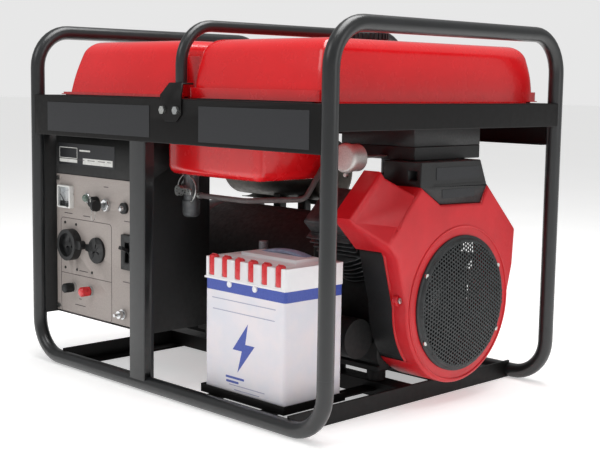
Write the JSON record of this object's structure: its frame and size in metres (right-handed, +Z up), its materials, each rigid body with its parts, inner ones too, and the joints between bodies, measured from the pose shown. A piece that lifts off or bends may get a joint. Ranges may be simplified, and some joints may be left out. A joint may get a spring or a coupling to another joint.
{
  "type": "engine driven generator",
  "caption": "Open-frame petrol generating set with a tubular cradle, saddle tank, control panel, battery and fan-cooled V engine.",
  "frame": {"origin": "on the floor under the middle of the frame", "axes": "+X towards the engine fan end, -Y towards the control panel, +Z up"},
  "size_m": [0.78, 0.5958, 0.624],
  "materials": {
    "frame_black": "satin black stove enamel",
    "tank_red": "gloss red enamel",
    "shroud_red": "moulded red, fine texture",
    "panel_grey": "warm grey powder coat",
    "box_black": "black powder coat",
    "plate_grey": "dark grey printed plate",
    "black_plastic": "moulded black",
    "grille_black": "moulded dark grey",
    "battery_white": "translucent white polypropylene",
    "cap_red": "moulded red",
    "lead": "dull lead",
    "zinc": "zinc plated",
    "cast_aluminium": "as cast",
    "engine_black": "black heat paint",
    "steel": "ground steel",
    "winding": "varnished laminations and windings",
    "rubber": "black rubber",
    "meter_white": "white moulded meter",
    "nut_red": "red moulded insulator",
    "lamp_green": "smoked green lens",
    "muffler_steel": "heat-toned aluminised steel"
  },
  "bodies": {
    "generator": {"air_cleaner_base": "black_plastic", "air_cleaner_cover": "black_plastic", "alternator_cradle": "engine_black", "alternator_end_cover": "cast_aluminium", "alternator_housing": "engine_black", "alternator_stator": "winding", "badge_panel": "black_plastic", "base_members": "frame_black", "battery_caps": "cap_red", "battery_case": "battery_white", "battery_lid": "battery_white", "battery_terminals": "lead", "bottom_rails": "frame_black", "breaker_case": "black_plastic", "carburettor": "cast_aluminium", "control_box": "box_black", "control_internals": "black_plastic", "crankcase": "engine_black", "cylinder_barrels": "cast_aluminium", "cylinder_heads": "cast_aluminium", "end_bands": "frame_black", "end_hoops": "frame_black", "fan_grille": "grille_black", "fan_shroud": "shroud_red", "fasteners": "zinc", "filler_neck": "zinc", "fuel_cock_body": "cast_aluminium", "fuel_hose": "rubber", "fuel_pump": "cast_aluminium", "hoop_brackets": "frame_black", "key_switch": "zinc", "lifting_hoop": "frame_black", "mid_post": "frame_black", "muffler": "muffler_steel", "name_plates": "plate_grey", "oil_filter": "engine_black", "panel_face": "panel_grey", "pilot_lamp": "lamp_green", "rocker_covers": "cast_aluminium", "rubber_mounts": "rubber", "side_bands": "frame_black", "sockets": "black_plastic", "starter_motor": "engine_black", "tank_lower_shell": "tank_red", "tank_upper_shell": "tank_red", "terminal_studs": "zinc", "voltmeter_case": "meter_white"},
    "fuel_cap": {"fuel_cap": "black_plastic"},
    "cock_lever": {"fuel_cock_lever": "zinc"},
    "meter_needle": {"voltmeter_needle": "black_plastic"},
    "voltage_knob": {"voltage_knob": "black_plastic"},
    "key": {"ignition_key": "black_plastic"},
    "reset_button": {"reset_button": "black_plastic"},
    "breaker_lever": {"breaker_lever": "black_plastic"},
    "black_nut": {"black_terminal_nut": "black_plastic"},
    "red_nut": {"red_terminal_nut": "nut_red"},
    "oil_cap": {"oil_cap": "black_plastic"},
    "rotor": {"crankshaft": "steel", "flywheel_fan": "cast_aluminium", "alternator_rotor": "winding"}
  },
  "joints": [
    {"name": "fuel_cap_turn", "type": "hinge", "parent": "generator", "child": "fuel_cap", "pos_m": [0.19, 0, 0.6], "axis": [0, 0, 1], "range_deg": [0, 90]},
    {"name": "fuel_cock_turn", "type": "hinge", "parent": "generator", "child": "cock_lever", "pos_m": [-0.018, -0.23, 0.342], "axis": [0, 1, 0], "range_deg": [0, 90]},
    {"name": "needle_swing", "type": "hinge", "parent": "generator", "child": "meter_needle", "pos_m": [-0.327, -0.25, 0.297], "axis": [0, 1, 0], "range_deg": [0, 90], "stiffness_Nm_per_rad": 0.0001},
    {"name": "voltage_knob_turn", "type": "hinge", "parent": "generator", "child": "voltage_knob", "pos_m": [-0.232, -0.25, 0.306], "axis": [0, -1, 0], "range_deg": [-135, 135]},
    {"name": "key_turn", "type": "hinge", "parent": "generator", "child": "key", "pos_m": [-0.201, -0.25, 0.303], "axis": [0, 1, 0], "range_deg": [0, 90]},
    {"name": "reset_button_press", "type": "slide", "parent": "generator", "child": "reset_button", "axis": [0, 1, 0], "range_m": [0, 0.004], "stiffness_N_per_m": 400, "springref_m": -0.001},
    {"name": "breaker_flip", "type": "hinge", "parent": "generator", "child": "breaker_lever", "pos_m": [-0.134, -0.246, 0.225], "axis": [1, 0, 0], "range_deg": [0, 48]},
    {"name": "black_nut_turn", "type": "hinge", "parent": "generator", "child": "black_nut", "pos_m": [-0.306, -0.25, 0.141], "axis": [0, -1, 0], "continuous": true},
    {"name": "red_nut_turn", "type": "hinge", "parent": "generator", "child": "red_nut", "pos_m": [-0.252, -0.25, 0.141], "axis": [0, -1, 0], "continuous": true},
    {"name": "oil_cap_turn", "type": "hinge", "parent": "generator", "child": "oil_cap", "pos_m": [0.134, -0.048, 0.27], "axis": [0, 0, 1], "continuous": true},
    {"name": "crank_spin", "type": "hinge", "parent": "generator", "child": "rotor", "pos_m": [0, 0.07, 0.167], "axis": [1, 0, 0], "continuous": true}
  ]
}
